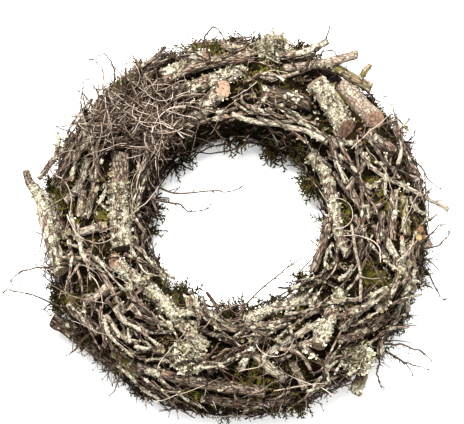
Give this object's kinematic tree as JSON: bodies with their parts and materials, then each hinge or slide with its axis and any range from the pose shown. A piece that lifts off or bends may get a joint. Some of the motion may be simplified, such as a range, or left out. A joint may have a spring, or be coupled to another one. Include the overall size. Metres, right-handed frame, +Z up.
{
  "type": "moss wreath",
  "caption": "Round wreath of moss mats on a bound brushwood ring, covered with cut lichened branches and fine birch twigs, lying flat with an open middle.",
  "frame": {"origin": "on the surface that the wreath lies on, under the middle of its overall spread, twig tips included", "axes": "+Z up through the hole; +X to the picture's right; +Y to the picture's top"},
  "size_m": [0.4551, 0.4004, 0.0982],
  "materials": {
    "bark_lichened": "rough bark crusted with pale lichen",
    "bark_brown": "rough brown bark",
    "bark_dark": "rough dark bark",
    "wood_bare": "weathered wood without its bark",
    "bark_mossy": "bark with a film of moss",
    "bark_pale": "pale peeling bark",
    "twig": "smooth dull twig bark",
    "lichen": "matte leafy lichen",
    "moss": "soft matte moss",
    "brushwood": "bound dark twigs"
  },
  "bodies": {
    "root": {"dark_log_top_right": "bark_dark", "low_branch_bottom": "bark_dark", "dark_log_lower_left": "bark_dark", "bark_strip_left": "bark_brown", "lichened_branch_left_rim": "bark_lichened", "bare_stub_left": "wood_bare", "tan_stub_right_rim": "wood_bare", "grey_stub_right_rim": "bark_brown", "lichened_log_top_left": "bark_lichened", "brown_stub_top_left": "bark_brown", "orange_stub_top": "bark_brown", "orange_stub_far_left": "wood_bare", "lichened_branch_top": "bark_lichened", "bark_branch_top": "bark_brown", "cut_stub_top_inside": "bark_lichened", "big_log_upper_right": "bark_lichened", "bare_log_upper_right": "wood_bare", "cut_stub_right": "bark_brown", "forked_branch_top_right": "bark_mossy", "level_branch_top_right": "wood_bare", "lichened_branch_right_inside": "bark_lichened", "thin_branch_right_inside": "bark_brown", "bark_branch_right": "bark_brown", "bark_branch_far_right": "bark_mossy", "cut_log_left": "bark_lichened", "lichened_twig_left": "bark_pale", "cut_stub_left": "bark_pale", "mossy_branch_lower_left": "bark_mossy", "long_branch_lower_left": "bark_lichened", "brown_branch_bottom": "bark_brown", "lichened_branch_inside_bottom": "bark_lichened", "forked_branch_bottom": "bark_pale", "lichened_branch_lower_right": "bark_lichened", "knotty_branch_lower_right": "bark_brown", "green_branch_bottom_right": "bark_mossy", "peeled_stub_bottom": "wood_bare", "long_twig_right": "bark_pale", "spray_top_left": "twig", "spray_brush_left": "twig", "spray_brush_top_left": "twig", "spray_top": "twig", "spray_top_long_twig": "twig", "spray_top_right": "twig", "spray_right_upper": "twig", "spray_right_lower": "twig", "spray_bottom_right": "twig", "spray_bottom": "twig", "spray_lower_left": "twig", "spray_left": "twig", "spray_hole_left": "twig", "spray_hole_bottom": "twig", "lichen_tuft_bottom": "lichen", "lichen_tuft_lower_right": "lichen", "lichen_tuft_top": "lichen", "moss_mat_1": "moss", "moss_mat_2": "moss", "moss_mat_3": "moss", "moss_mat_4": "moss", "moss_mat_5": "moss", "brushwood_core": "brushwood"}
  },
  "joints": []
}
